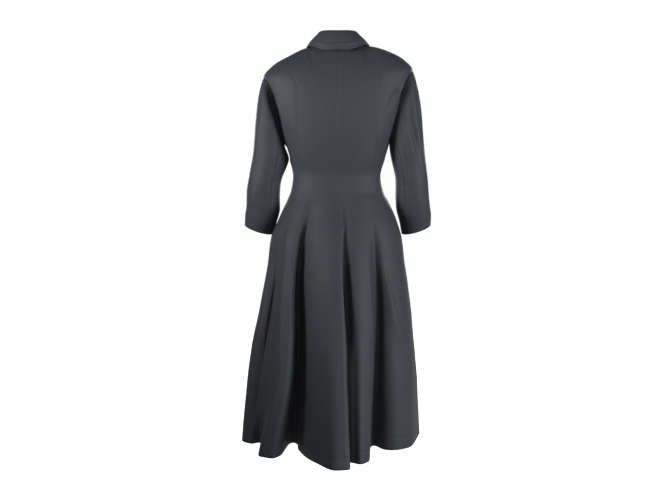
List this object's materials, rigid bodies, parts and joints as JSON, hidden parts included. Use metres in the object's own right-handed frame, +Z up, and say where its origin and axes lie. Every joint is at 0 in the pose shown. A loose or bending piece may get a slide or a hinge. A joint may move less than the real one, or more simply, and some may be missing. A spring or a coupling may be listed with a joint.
{
  "type": "princess-line coat dress",
  "caption": "Fitted coat dress with princess seams, turned-down collar, three-quarter sleeves, button front and a full skirt in deep loose folds.",
  "frame": {"origin": "on the middle line, level with the sides of the neck seam, where the wearer's shoulders hold the garment up", "axes": "+Z up along the length of the garment, the closing at the front faces -Y, and the wearer's left sleeve is on +X"},
  "size_m": [0.579, 0.5288, 1.2376],
  "materials": {
    "dress_cloth": "dark charcoal faille with a fine crosswise rib and a soft low lustre",
    "button_cover": "the same cloth pulled smooth over a domed button"
  },
  "bodies": {
    "root": {"back_centre_left": "dress_cloth", "back_side_left": "dress_cloth", "front_side_left": "dress_cloth", "front_centre_left": "dress_cloth", "sleeve_upper_left": "dress_cloth", "sleeve_under_left": "dress_cloth", "back_centre_right": "dress_cloth", "back_side_right": "dress_cloth", "front_side_right": "dress_cloth", "front_centre_right": "dress_cloth", "sleeve_upper_right": "dress_cloth", "sleeve_under_right": "dress_cloth", "collar_stand": "dress_cloth", "collar_fall": "dress_cloth", "button_1": "button_cover", "button_2": "button_cover", "button_3": "button_cover", "button_4": "button_cover", "button_5": "button_cover", "button_6": "button_cover"}
  },
  "joints": []
}
